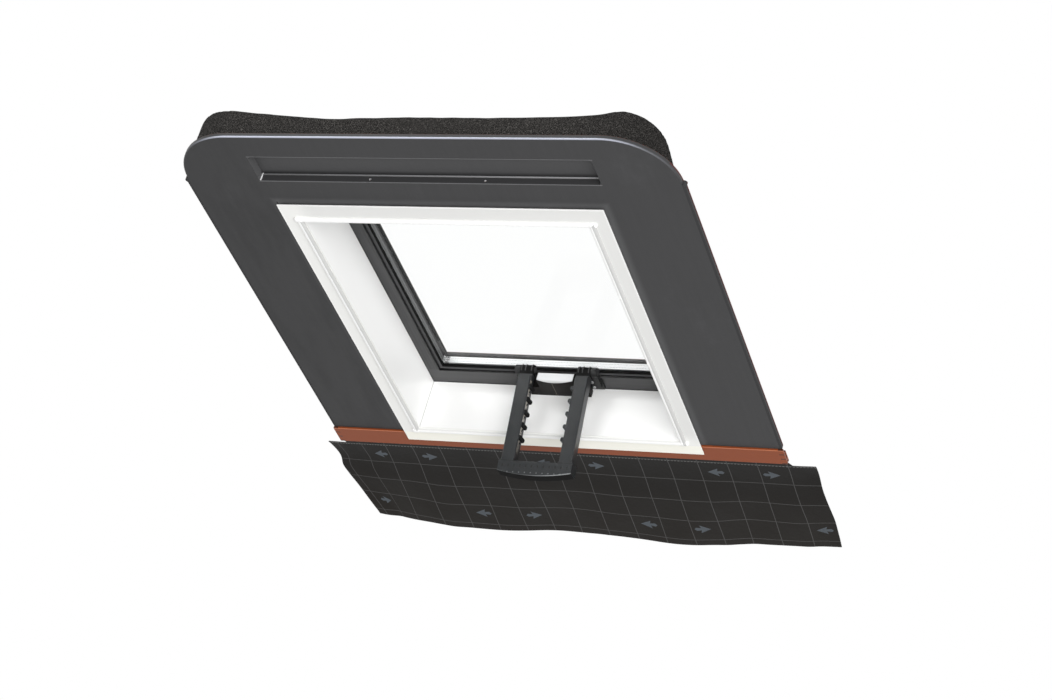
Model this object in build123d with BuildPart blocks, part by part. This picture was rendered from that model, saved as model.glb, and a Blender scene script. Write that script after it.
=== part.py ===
"""Top-hung plastic roof window for a tiled roof, with a 450 x 550 mm clear opening.

The row frame lies in the roof: X to the right seen from outside, Y up the slope, Z outwards.
The origin is the centre of the clear opening, on the underside of the flashing plate.

The flashing plate and its upstand are one moulding. A white lining sits inside the upstand,
the sash hangs on two hinges above the opening, and a U-shaped stay hangs from the sash.
All sizes are in millimetres.
"""
import os
from math import copysign, cos, radians, sin

from build123d import *

os.makedirs("parts", exist_ok=True)

# Clear opening, inside the lining
clear_w = 450.0
clear_l = 550.0

# Clearances
touch = 0.3
slip = 0.5
screw_gap = 0.1
notch_gap = 2.0
pin_gap = 0.2

# Lining: a straight reveal with a flange and a raised bead on the room side
lining_wall = 3.0
lining_short = 1.0
flange_side = 32.0
flange_end = 38.0
flange_t = 1.6
flange_stand = 4.4
rim_t = 3.0
rim_side_inset = 3.0
rim_end_inset = 10.0
bead_inset = 6.0
bead_w = 10.0
bead_h = 4.0

# Flashing plate
plate_t = 3.0
plate_beside = 161.0
plate_above = 187.0
plate_below = 48.0
corner_r = 100.0
lip_w = 3.0
lip_h = 8.0
lip_round = 2.8
side_lip_w = 2.5
side_bump_r = 4.5
rebate = 0.5

# Upstand round the opening
insulation_t = 20.0
upstand_wall = 3.0
upstand_h = 82.0
ledge_t = 3.0
seal_w = 11.0
seal_round = 1.5
seal_in = 9.0

# Trough for the tile batten, above the opening
trough_beside = 41.5
trough_above = 87.5
trough_run = 55.0
trough_depth = 13.0
trough_wall = 3.0
trough_round = 6.0
trough_draft = 4.0
nail_spacing = 180.0
nail_r = 1.8
nail_z = 5.2

# Sash
sash_z = 87.0
side_rail = 21.0
bottom_rail = 32.0
rail_floor = 4.0
sight_step = 5.0
ledge_w = 5.0
bed_t = 3.0
rebate_wall = 3.0
skirt_gap = 8.0
skirt_wall = 3.0
skirt_drop = 17.0
sight_round = 1.2
boss_r = 5.5
boss_bite = 1.0

# Sealed double-glazed unit
pane_t = 4.0
cavity = 12.0
glass_bite = 11.0
glass_seal_t = 2.0
seal_lip = 2.0
seal_lip_drop = 2.0
spacer_w = 6.5
spacer_set = 0.5
packer_t = 2.0
packer_len = 40.0

# Cap over the glass edge
cap_t = 3.0
cap_gap = 1.5
cap_wall = 2.5
cap_skirt = 18.0
cap_lip = 1.5
cap_edge_t = 1.6
cap_round = 2.4
outer_seal_in = 1.0

# Hinges
hinge_inboard = 75.0
hinge_out = 6.0
hinge_z = 76.0
knuckle_r = 5.5
knuckle_w = 14.0
side_knuckle_w = 7.5
hinge_pin_r = 2.5
pin_head_t = 1.5
base_w = 30.0
base_low = 52.0
base_high = 78.0
base_leg = 5.0
hinge_plate_t = 3.0
hinge_round = 3.0
hinge_head_r = 3.8
leg_sink = 0.5
leg_up = 4.0
arm_w = 40.0
arm_low = 83.0
arm_high = 99.0

# Stay, its brackets and its catch
hardware_x = -8.0
stay_above = 47.0
stay_z = 85.5
stay_lean = 10.5
stay_w = 121.0
stay_arm_w = 22.5
stay_front = 13.0
stay_back = 6.0
stay_neck = 13.5
stay_len = 183.0
stay_bow = 7.0
stay_round = 2.0
grip_from = 165.0
grip_flare = 2.5
grip_extra = 1.5
grip_step = 2.0
tooth_out = 4.7
tooth_w = 7.4
tooth_round = 2.6
tooth_setback = 1.5
tooth_first = 33.5
tooth_pitch = 22.5
tooth_count = 5
socket_r = 2.2
socket_depth = 3.0
socket_drop = 7.6
neck_front = 7.5
eye_r = 8.0
stay_pin_r = 3.0
stay_head_r = 5.0
lug_w = 9.0
lug_r = 8.0
lug_run = 34.0
bracket_t = 3.7
bracket_w = 24.0
bracket_l = 27.0
bracket_back = 2.5

# Catch block on the bottom of the reveal
catch_x = -7.0
catch_w = 64.0
catch_base_w = 104.0
catch_base_run = 22.0
catch_base_high = 81.0
catch_reach = 44.0
catch_low = 69.0
catch_high = 83.5
catch_face_low = 68.1
catch_face_high = 83.0
catch_bow = 5.7
label_t = 0.8
label_margin = 1.0

# Foam strip round the top edge, on the outside
foam_inset = 8.0
foam_t = 25.0
foam_h = 49.0
foam_run = 96.0

# Clamp along the bottom edge, and the apron in it
clamp_under = 28.5
clamp_over = 17.0
clamp_below = 11.0
clamp_beside = 4.0
clamp_leg = 3.0
clamp_top_leg = 2.4
clamp_web = 3.2
clamp_round = 1.2
apron_beside = 44.0
apron_t = 2.0
apron_len = 216.0
apron_droop = 6.6
apron_bite = 7.0

# Screws
screw_r = 1.75
screw_head_r = 3.4
screw_head_t = 1.8
screw_draft = 20.0
screw_bite = 8.0
cap_screw_inboard = 95.0
cap_end_inboard = 135.0
clamp_screw_inboard = 40.0
clamp_screw_count = 6
hinge_screw_dx = 10.0
catch_screw_dx = 20.0

# Levels and edges that several pieces share
plate_half = clear_w / 2 + plate_beside
plate_top = clear_l / 2 + plate_above
plate_bottom = -clear_l / 2 - plate_below
trough_w = clear_w + 2 * trough_beside
trough_low = clear_l / 2 + trough_above
trough_high = trough_low + trough_run
foam_end = plate_top - foam_run
clamp_high = plate_bottom + clamp_under
clamp_top_from = plate_bottom + clamp_over
clamp_low = plate_bottom - clamp_below
clamp_half = plate_half + clamp_beside
apron_half = plate_half + apron_beside
hinge_x = clear_w / 2 - hinge_inboard
stay_y = -clear_l / 2 + stay_above
catch_face_y = -clear_l / 2 + catch_reach
flange_z = -flange_stand - flange_t
rim_side = flange_side - rim_side_inset
rim_end = flange_end - rim_end_inset
bead_z = flange_z - bead_h
upstand_in = lining_wall + insulation_t
upstand_out = upstand_in + upstand_wall
upstand_top_y = clear_l / 2 + upstand_out
skirt_in = upstand_out + skirt_gap
skirt_out = skirt_in + skirt_wall
skirt_top_y = clear_l / 2 + skirt_out
sight_w = clear_w - 2 * side_rail
sight_l = clear_l - side_rail - bottom_rail
sight_y = (bottom_rail - side_rail) / 2
bed_z = sash_z + sight_step + bed_t
inner_pane_z = bed_z + glass_seal_t
cavity_z = inner_pane_z + pane_t
outer_pane_z = cavity_z + cavity
outer_seal_z = outer_pane_z + pane_t
cap_z = outer_seal_z + glass_seal_t
glass_edge = glass_bite - ledge_w
packer_edge = glass_edge + packer_t
rebate_edge = packer_edge + rebate_wall
spacer_in = spacer_set - ledge_w
spacer_out = spacer_in + spacer_w
cap_in = -ledge_w - cap_lip
cap_skirt_in = skirt_out + cap_gap
cap_out = cap_skirt_in + cap_wall
hinge_y = skirt_top_y + hinge_out
gap_half = stay_w / 2 - stay_arm_w
lug_low = stay_w / 2 + slip
stay_depth = stay_back + stay_front
socket_mid = (stay_front - stay_back) / 2

# Screw positions
hinge_screw_x = [side * hinge_x + dx for side in (-1, 1)
                 for dx in (-hinge_screw_dx, hinge_screw_dx)]
base_screw_z = 60.0
arm_screw_z = 93.0
clamp_screw_end = clamp_half - clamp_screw_inboard
clamp_screw_pitch = 2 * clamp_screw_end / (clamp_screw_count - 1)
clamp_screw_x = [i * clamp_screw_pitch - clamp_screw_end for i in range(clamp_screw_count)]
clamp_screw_y = (clamp_top_from + plate_bottom) / 2
catch_screw_x = [catch_x - catch_screw_dx, catch_x + catch_screw_dx]
catch_screw_z = 76.0
catch_screw_seat = catch_face_y - 12.0
bracket_screw_dy = 7.0
bracket_screw_in = 6.0
boss_in = skirt_wall + boss_r - boss_bite
cap_screw_x = clear_w / 2 + skirt_out - boss_in
cap_screw_y = clear_l / 2 + skirt_out - boss_in
cap_screw_at = [(side * cap_screw_x, y) for side in (-1, 1)
                for y in (cap_screw_inboard - clear_l / 2, 0, clear_l / 2 - cap_screw_inboard)]
cap_screw_at += [(x, side * cap_screw_y) for side in (-1, 1)
                 for x in (cap_end_inboard - clear_w / 2, clear_w / 2 - cap_end_inboard)]

bracket_y = -clear_l / 2 + bracket_back + bracket_l / 2
bracket_mid = lug_low + lug_w + bracket_back - bracket_w / 2
bracket_screw_at = [(hardware_x + side * (bracket_mid - bracket_screw_in), bracket_y + dy)
                    for side in (-1, 1) for dy in (-bracket_screw_dy, bracket_screw_dy)]


def opening_wall(z_low, z_high, out, inside, mode=Mode.ADD):
    """A wall round the clear opening, between two offsets outwards from its edge."""
    with BuildSketch(Plane.XY.offset(z_low)) as plan:
        Rectangle(clear_w + 2 * out, clear_l + 2 * out)
        Rectangle(clear_w + 2 * inside, clear_l + 2 * inside, mode=Mode.SUBTRACT)
    extrude(plan.sketch, amount=z_high - z_low, mode=mode)


def sight_wall(z_low, z_high, out, inside):
    """A wall round the glass opening of the sash, between two offsets outwards from its edge."""
    with BuildSketch(Plane.XY.offset(z_low)) as plan:
        with Locations((0, sight_y)):
            Rectangle(sight_w + 2 * out, sight_l + 2 * out)
            Rectangle(sight_w + 2 * inside, sight_l + 2 * inside, mode=Mode.SUBTRACT)
    extrude(plan.sketch, amount=z_high - z_low)


def pane(z_low):
    """A glass pane that reaches the edge of the sealed unit."""
    with BuildSketch(Plane.XY.offset(z_low)) as plan:
        with Locations((0, sight_y)):
            Rectangle(sight_w + 2 * glass_edge, sight_l + 2 * glass_edge)
    extrude(plan.sketch, amount=pane_t)


def plate_plan(inset):
    """Outline of the flashing plate, drawn in by inset, with its two round top corners."""
    with BuildSketch(mode=Mode.PRIVATE) as plan:
        with Locations((0, (plate_top + plate_bottom) / 2)):
            Rectangle(2 * (plate_half - inset), plate_top - plate_bottom - 2 * inset)
        fillet(plan.vertices().group_by(Axis.Y)[-1], corner_r - inset)
    return plan.sketch


def cross_face(y):
    """Plane across the slope at y, facing down the slope, drawn with X to the right and Z up."""
    return Plane(origin=(0, y, 0), x_dir=(1, 0, 0), z_dir=(0, -1, 0))


def section_plane(x):
    """Plane along the slope at x, drawn with Y to the right and Z up."""
    return Plane(origin=(x, 0, 0), x_dir=(0, 1, 0), z_dir=(1, 0, 0))


def bores(plane, spots, radius, depth):
    """Cut round holes from a plane, along its normal."""
    with BuildSketch(plane) as plan:
        with Locations(*spots):
            Circle(radius)
    extrude(plan.sketch, amount=depth, mode=Mode.SUBTRACT)


def screws(seat, spots, shank):
    """Screws with their heads on the seat plane and their shanks on its other side."""
    with BuildSketch(seat) as heads:
        with Locations(*spots):
            Circle(screw_head_r)
    extrude(heads.sketch, amount=-copysign(screw_head_t, shank), taper=screw_draft)
    with BuildSketch(seat) as shanks:
        with Locations(*spots):
            Circle(screw_r)
    extrude(shanks.sketch, amount=shank)


def write(piece, name):
    """Label a finished piece and write it to its own file."""
    piece.part.label = name
    export_step(piece.part, f"parts/{name}.step")


# ------------------------------------------------------------ flashing and lining

with BuildPart() as flashing_frame:
    with BuildSketch():
        add(plate_plan(0))
    extrude(amount=plate_t)
    with BuildSketch():
        add(plate_plan(0))
        add(plate_plan(lip_w), mode=Mode.SUBTRACT)
        with Locations((0, clamp_high)):
            Rectangle(2 * plate_half, clear_l, align=(Align.CENTER, Align.MAX), mode=Mode.SUBTRACT)
    extrude(amount=lip_h)
    rim = flashing_frame.edges().filter_by_position(Axis.Z, -0.01, 0.01)
    fillet(rim.sort_by(Axis.Y)[-1], lip_round)
    with BuildSketch():
        side_y = plate_top - corner_r
        for side in (-1, 1):
            with Locations((side * plate_half, (side_y + clamp_high) / 2)):
                Rectangle(2 * side_lip_w, side_y - clamp_high)
            with Locations((side * plate_half, side_y)):
                Circle(side_bump_r)
    extrude(amount=lip_h)
    # Raised trough for the batten
    with BuildSketch(Plane.XY.offset(plate_t / 2)):
        with Locations((0, (trough_low + trough_high) / 2)):
            RectangleRounded(trough_w + 2 * trough_wall, trough_high - trough_low + 2 * trough_wall,
                             trough_round + trough_wall)
    extrude(amount=trough_depth + trough_wall - plate_t / 2)
    with BuildSketch():
        with Locations((0, (trough_low + trough_high) / 2)):
            RectangleRounded(trough_w, trough_high - trough_low, trough_round)
    extrude(amount=trough_depth, taper=trough_draft, mode=Mode.SUBTRACT)
    bores(cross_face(trough_low + trough_wall),
          [(-nail_spacing / 2, nail_z), (nail_spacing / 2, nail_z)], nail_r, 3 * trough_wall)
    # Upstand with its inward ledge
    opening_wall(0, upstand_h, upstand_out, upstand_in)
    opening_wall(upstand_h - ledge_t, upstand_h, upstand_out, lining_wall + slip)
    with BuildSketch():
        Rectangle(clear_w + 2 * upstand_in, clear_l + 2 * upstand_in)
    extrude(amount=plate_t, mode=Mode.SUBTRACT)
    # Shallow rebates for the lining's rim and for the clamp
    with BuildSketch():
        Rectangle(clear_w + 2 * (rim_side + slip), clear_l + 2 * (rim_end + slip))
        with Locations((0, clamp_high + slip)):
            Rectangle(2 * clamp_half, clear_l, align=(Align.CENTER, Align.MAX))
    extrude(amount=rebate, mode=Mode.SUBTRACT)
    bores(Plane.XY, [(x, clamp_screw_y) for x in clamp_screw_x], screw_r + screw_gap, plate_t)
    bores(cross_face(upstand_top_y), [(x, base_screw_z) for x in hinge_screw_x],
          screw_r + screw_gap, upstand_wall)
write(flashing_frame, "flashing_frame")

with BuildPart() as curb_insulation:
    opening_wall(plate_t, upstand_h - ledge_t - touch, upstand_in - touch, lining_wall + touch)
    bores(cross_face(upstand_top_y), [(x, base_screw_z) for x in hinge_screw_x],
          screw_r + pin_gap, upstand_wall + screw_bite)
    bores(cross_face(-clear_l / 2), [(x, catch_screw_z) for x in catch_screw_x],
          screw_r + pin_gap, lining_wall + screw_bite)
write(curb_insulation, "curb_insulation")

with BuildPart() as inner_lining:
    with BuildSketch(Plane.XY.offset(flange_z)):
        Rectangle(clear_w + 2 * flange_side, clear_l + 2 * flange_end)
    extrude(amount=flange_t)
    # Raised bead round the opening
    with BuildSketch(Plane.XY.offset(bead_z)):
        RectangleRounded(clear_w + 2 * bead_inset + bead_w, clear_l + 2 * bead_inset + bead_w,
                         bead_w)
        Rectangle(clear_w + 2 * bead_inset - bead_w, clear_l + 2 * bead_inset - bead_w,
                  mode=Mode.SUBTRACT)
    extrude(amount=bead_h)
    fillet(inner_lining.edges().group_by(Axis.Z)[0], bead_h * 0.9)
    # Rim that seats the flange on the plate, open along the clamp
    with BuildSketch(Plane.XY.offset(-flange_stand)):
        Rectangle(clear_w + 2 * rim_side, clear_l + 2 * rim_end)
        Rectangle(clear_w + 2 * (rim_side - rim_t), clear_l + 2 * (rim_end - rim_t), mode=Mode.SUBTRACT)
        with Locations((0, clamp_high + slip)):
            Rectangle(2 * clamp_half, clear_l, align=(Align.CENTER, Align.MAX), mode=Mode.SUBTRACT)
    extrude(amount=flange_stand + rebate)
    # Straight reveal
    with BuildSketch(Plane.XY.offset(flange_z)):
        Rectangle(clear_w + 2 * lining_wall, clear_l + 2 * lining_wall)
    extrude(amount=sash_z - lining_short - flange_z)
    with BuildSketch(Plane.XY.offset(flange_z)):
        Rectangle(clear_w, clear_l)
    extrude(amount=sash_z - flange_z, mode=Mode.SUBTRACT)
    bores(cross_face(-clear_l / 2), [(x, catch_screw_z) for x in catch_screw_x],
          screw_r + screw_gap, lining_wall)
write(inner_lining, "inner_lining")

with BuildPart() as curb_seal:
    opening_wall(upstand_h, sash_z - touch, seal_in + seal_w, seal_in)
    fillet(curb_seal.edges().group_by(Axis.Z)[-1], seal_round)
write(curb_seal, "curb_seal")

# ------------------------------------------------------------ foam, clamp and apron

with BuildPart() as foam_strip:
    with BuildSketch(Plane.XY.offset(plate_t + touch)):
        add(plate_plan(foam_inset))
        add(plate_plan(foam_inset + foam_t), mode=Mode.SUBTRACT)
        with Locations((0, foam_end)):
            Rectangle(2 * plate_half, 2 * clear_l, align=(Align.CENTER, Align.MAX), mode=Mode.SUBTRACT)
    extrude(amount=foam_h)
write(foam_strip, "foam_strip")

channel_low = plate_bottom - touch
slot_high = channel_low - clamp_web
clamp_top_z = plate_t + touch + clamp_top_leg

with BuildPart() as apron_clamp:
    with BuildSketch(section_plane(-clamp_half)):
        with BuildLine():
            Polyline((clamp_high, -clamp_leg), (clamp_low, -clamp_leg), (clamp_low, 0),
                     (slot_high, 0), (slot_high, apron_t + 2 * touch), (clamp_low, apron_t + 2 * touch),
                     (clamp_low, clamp_top_z), (clamp_top_from, clamp_top_z),
                     (clamp_top_from, plate_t + touch), (channel_low, plate_t + touch),
                     (channel_low, rebate), (clamp_high, rebate), close=True)
        make_face()
    extrude(amount=2 * clamp_half)
    long_edges = apron_clamp.edges().filter_by(Axis.X)
    fillet(long_edges.group_by(Axis.Z)[0], clamp_round)
    bores(Plane.XY.offset(clamp_top_z), [(x, clamp_screw_y) for x in clamp_screw_x],
          screw_r + screw_gap, -(clamp_top_z + clamp_leg / 2 + screw_gap))
write(apron_clamp, "apron_clamp")

with BuildPart() as clamp_screws:
    screws(Plane.XY.offset(clamp_top_z), [(x, clamp_screw_y) for x in clamp_screw_x],
           -(clamp_top_z + clamp_leg / 2))
write(clamp_screws, "clamp_screws")

with BuildPart() as apron:
    bend_y = clamp_low - touch
    tip_y = bend_y - apron_len * cos(radians(apron_droop))
    tip_z = touch - apron_len * sin(radians(apron_droop))
    with BuildSketch(section_plane(-apron_half)):
        with BuildLine():
            Polyline((bend_y + apron_bite, touch), (bend_y, touch), (tip_y, tip_z),
                     (tip_y, tip_z + apron_t), (bend_y, touch + apron_t),
                     (bend_y + apron_bite, touch + apron_t), close=True)
        make_face()
    extrude(amount=2 * apron_half)
write(apron, "apron")

# ------------------------------------------------------------ sash and glazing

with BuildPart() as sash_frame:
    sight_wall(sash_z, bed_z, rebate_edge, 0)
    face_edges = sash_frame.edges().group_by(Axis.Z)[0]
    sight_sides = face_edges.filter_by(Axis.Y).sort_by(lambda e: abs(e.center().X))[:2]
    sight_ends = face_edges.filter_by(Axis.X).sort_by(lambda e: abs(e.center().Y - sight_y))[:2]
    fillet(sight_sides + sight_ends, sight_round)
    sight_wall(bed_z - bed_t, bed_z, rebate_edge, -ledge_w)
    sight_wall(sash_z, cap_z, rebate_edge, packer_edge)
    with BuildSketch(Plane.XY.offset(sash_z)):
        Rectangle(clear_w + 2 * skirt_out, clear_l + 2 * skirt_out)
        with Locations((0, sight_y)):
            Rectangle(sight_w + rebate_edge, sight_l + rebate_edge, mode=Mode.SUBTRACT)
    extrude(amount=rail_floor)
    opening_wall(sash_z - skirt_drop, cap_z, skirt_out, skirt_in)
    # Bosses for the cap screws
    with BuildSketch(Plane.XY.offset(sash_z)):
        with Locations(*cap_screw_at):
            Circle(boss_r)
    extrude(amount=cap_z - sash_z)
    bores(Plane.XY.offset(cap_z), cap_screw_at, screw_r + screw_gap, -2 * screw_bite)
    # Notches in the skirt over the hinge bases
    with BuildSketch(cross_face(skirt_top_y)):
        with Locations((-hinge_x, sash_z - skirt_drop), (hinge_x, sash_z - skirt_drop)):
            Rectangle(base_w + 2 * notch_gap, 2 * (arm_low + notch_gap / 2 - sash_z + skirt_drop))
    extrude(amount=skirt_wall, mode=Mode.SUBTRACT)
    bores(cross_face(skirt_top_y), [(x, arm_screw_z) for x in hinge_screw_x],
          screw_r + screw_gap, skirt_wall)
    bores(Plane.XY.offset(sash_z), bracket_screw_at, screw_r + screw_gap,
          rail_floor + screw_bite / 2)
write(sash_frame, "sash_frame")

with BuildPart() as inner_glazing_seal:
    sight_wall(bed_z, inner_pane_z, spacer_out, -ledge_w - seal_lip)
    sight_wall(bed_z - seal_lip_drop, bed_z, -ledge_w, -ledge_w - seal_lip)
write(inner_glazing_seal, "inner_glazing_seal")

with BuildPart() as glass_inner:
    pane(inner_pane_z)
write(glass_inner, "glass_inner")

with BuildPart() as glass_spacer:
    sight_wall(cavity_z, outer_pane_z, spacer_out, spacer_in)
write(glass_spacer, "glass_spacer")

with BuildPart() as glass_edge_seal:
    sight_wall(cavity_z, outer_pane_z, glass_edge, spacer_out)
write(glass_edge_seal, "glass_edge_seal")

with BuildPart() as glass_outer:
    pane(outer_pane_z)
write(glass_outer, "glass_outer")

with BuildPart() as outer_glazing_seal:
    sight_wall(outer_seal_z, cap_z, spacer_out, -ledge_w - outer_seal_in)
write(outer_glazing_seal, "outer_glazing_seal")

with BuildPart() as setting_blocks:
    packer_mid = (glass_edge + packer_edge) / 2
    with BuildSketch(Plane.XY.offset(inner_pane_z)):
        for x in (-sight_w / 4, sight_w / 4):
            for y in (sight_y - sight_l / 2 - packer_mid, sight_y + sight_l / 2 + packer_mid):
                with Locations((x, y)):
                    Rectangle(packer_len, packer_t)
        for x in (-sight_w / 2 - packer_mid, sight_w / 2 + packer_mid):
            for y in (sight_y - sight_l / 4, sight_y + sight_l / 4):
                with Locations((x, y)):
                    Rectangle(packer_t, packer_len)
    extrude(amount=outer_seal_z - inner_pane_z)
write(setting_blocks, "setting_blocks")

with BuildPart() as sash_cap:
    with BuildSketch(Plane.XY.offset(cap_z - cap_skirt)):
        Rectangle(clear_w + 2 * cap_out, clear_l + 2 * cap_out)
    extrude(amount=cap_skirt + cap_t)
    fillet(sash_cap.edges().group_by(Axis.Z)[-1], cap_round)
    with BuildSketch(Plane.XY.offset(cap_z - cap_skirt)):
        Rectangle(clear_w + 2 * cap_skirt_in, clear_l + 2 * cap_skirt_in)
    extrude(amount=cap_skirt, mode=Mode.SUBTRACT)
    with BuildSketch(Plane.XY.offset(cap_z)):
        with Locations((0, sight_y)):
            Rectangle(sight_w + 2 * cap_in, sight_l + 2 * cap_in)
    extrude(amount=cap_t, mode=Mode.SUBTRACT)
    inner_edge = sash_cap.edges().group_by(Axis.Z)[-1].filter_by(
        lambda e: abs(e.center().X) < clear_w / 2 and abs(e.center().Y) < clear_l / 2)
    chamfer(inner_edge, cap_t - cap_edge_t)
    bores(Plane.XY.offset(cap_z), cap_screw_at, screw_r + screw_gap, cap_t)
write(sash_cap, "sash_cap")

with BuildPart() as cap_screws:
    screws(Plane.XY.offset(cap_z + cap_t), cap_screw_at, -(cap_t + 2 * screw_bite - notch_gap))
write(cap_screws, "cap_screws")

# ------------------------------------------------------------ hinges

for side, name in ((-1, "left"), (1, "right")):
    at_x = side * hinge_x

    with BuildPart() as hinge_base:
        with BuildSketch(cross_face(upstand_top_y)):
            with Locations((at_x, (base_low + base_high) / 2)):
                RectangleRounded(base_w, base_high - base_low, hinge_round)
        extrude(amount=-hinge_plate_t)
        with BuildSketch(section_plane(at_x)):
            with Locations((hinge_y, hinge_z)):
                Circle(knuckle_r)
            with Locations((upstand_top_y + leg_sink, hinge_z - base_leg)):
                Rectangle(hinge_y - upstand_top_y, base_leg, align=(Align.MIN, Align.MIN))
        extrude(amount=knuckle_w / 2, both=True)
        with BuildSketch(section_plane(at_x)):
            with Locations((hinge_y, hinge_z)):
                Circle(hinge_pin_r + pin_gap)
        extrude(amount=knuckle_w, both=True, mode=Mode.SUBTRACT)
        bores(cross_face(upstand_top_y + hinge_plate_t),
              [(at_x - hinge_screw_dx, base_screw_z), (at_x + hinge_screw_dx, base_screw_z)],
              screw_r + screw_gap, hinge_plate_t)
    write(hinge_base, f"hinge_base_{name}")

    with BuildPart() as hinge_arm:
        with BuildSketch(cross_face(skirt_top_y)):
            with Locations((at_x, (arm_low + arm_high) / 2)):
                RectangleRounded(arm_w, arm_high - arm_low, hinge_round)
        extrude(amount=-hinge_plate_t)
        for knuckle_side in (-1, 1):
            knuckle_x = at_x + knuckle_side * (knuckle_w / 2 + slip)
            with BuildSketch(section_plane(knuckle_x)):
                with Locations((hinge_y, hinge_z)):
                    Circle(knuckle_r)
                with Locations((skirt_top_y + leg_sink, hinge_z)):
                    Rectangle(base_leg, arm_low + leg_up - hinge_z, align=(Align.MIN, Align.MIN))
            extrude(amount=knuckle_side * side_knuckle_w)
        with BuildSketch(section_plane(at_x)):
            with Locations((hinge_y, hinge_z)):
                Circle(hinge_pin_r)
        extrude(amount=arm_w, both=True, mode=Mode.SUBTRACT)
        bores(cross_face(skirt_top_y + hinge_plate_t),
              [(at_x - hinge_screw_dx, arm_screw_z), (at_x + hinge_screw_dx, arm_screw_z)],
              screw_r + screw_gap, hinge_plate_t)
    write(hinge_arm, f"hinge_arm_{name}")

    with BuildPart() as hinge_pin:
        pin_half = knuckle_w / 2 + slip + side_knuckle_w
        with BuildSketch(section_plane(at_x)):
            with Locations((hinge_y, hinge_z)):
                Circle(hinge_pin_r)
        extrude(amount=pin_half + pin_head_t, both=True)
        for head_side in (-1, 1):
            with BuildSketch(section_plane(at_x + head_side * pin_half)):
                with Locations((hinge_y, hinge_z)):
                    Circle(hinge_head_r)
            extrude(amount=head_side * pin_head_t)
    write(hinge_pin, f"hinge_pin_{name}")

with BuildPart() as hinge_base_screws:
    screws(cross_face(upstand_top_y + hinge_plate_t), [(x, base_screw_z) for x in hinge_screw_x],
           hinge_plate_t + upstand_wall + screw_bite)
write(hinge_base_screws, "hinge_base_screws")

with BuildPart() as hinge_arm_screws:
    screws(cross_face(skirt_top_y + hinge_plate_t), [(x, arm_screw_z) for x in hinge_screw_x],
           hinge_plate_t + skirt_wall + screw_bite / 2)
write(hinge_arm_screws, "hinge_arm_screws")

# ------------------------------------------------------------ stay, brackets and catch

lean = radians(stay_lean)
stay_plane = Plane(origin=(hardware_x, stay_y, stay_z), x_dir=(1, 0, 0),
                   z_dir=(0, cos(lean), -sin(lean)))

with BuildPart() as stay:
    with BuildSketch(stay_plane.offset(-stay_back)):
        with Locations((0, stay_neck)):
            Rectangle(stay_w, stay_len - stay_neck, align=(Align.CENTER, Align.MIN))
    extrude(amount=stay_depth)
    with BuildSketch(stay_plane.offset(-stay_back - grip_extra)):
        with BuildLine():
            grip_half = stay_w / 2 + grip_flare
            grip_top = grip_from - grip_step
            top_line = Polyline((-grip_half, stay_len), (-grip_half, grip_top),
                                (grip_half, grip_top), (grip_half, stay_len))
            ThreePointArc(top_line @ 0, (0, stay_len + stay_bow), top_line @ 1)
        make_face()
    extrude(amount=stay_depth + 2 * grip_extra)
    with BuildSketch(stay_plane):
        Rectangle(2 * gap_half, grip_from, align=(Align.CENTER, Align.MIN))
    extrude(amount=stay_depth, both=True, mode=Mode.SUBTRACT)
    long_edges = stay.edges().filter_by(lambda e: e.length > stay_len / 2)
    fillet(long_edges, stay_round)
    # Teeth inside both arms, each with a blind socket beyond it
    for side in (-1, 1):
        with BuildSketch(stay_plane.offset(tooth_setback - stay_back)):
            for i in range(tooth_count):
                with Locations((side * gap_half, tooth_first + i * tooth_pitch)):
                    RectangleRounded(2 * tooth_out, tooth_w, tooth_round)
        extrude(amount=stay_depth - 2 * tooth_setback)
        inner_face = Plane(origin=stay_plane.from_local_coords((side * gap_half, 0, socket_mid)),
                           x_dir=stay_plane.y_dir, z_dir=(side, 0, 0))
        with BuildSketch(inner_face):
            for i in range(tooth_count):
                with Locations((tooth_first + socket_drop + i * tooth_pitch, 0)):
                    Circle(socket_r)
        extrude(amount=socket_depth, mode=Mode.SUBTRACT)
    # Necks and eyes at the top of the arms
    for side in (-1, 1):
        inner_x = hardware_x + side * gap_half
        with BuildSketch(section_plane(inner_x)):
            with Locations((stay_y, stay_z)):
                Circle(eye_r)
        extrude(amount=side * stay_arm_w)
        with BuildSketch(stay_plane.offset(-stay_back)):
            with Locations((side * (gap_half + stay_arm_w / 2), 0)):
                Rectangle(stay_arm_w, stay_neck + stay_round, align=(Align.CENTER, Align.MIN))
        extrude(amount=stay_back + neck_front)
        with BuildSketch(section_plane(inner_x - side)):
            with Locations((stay_y, stay_z)):
                Circle(stay_pin_r + pin_gap)
        extrude(amount=side * (stay_arm_w + 2), mode=Mode.SUBTRACT)
write(stay, "stay")

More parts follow.
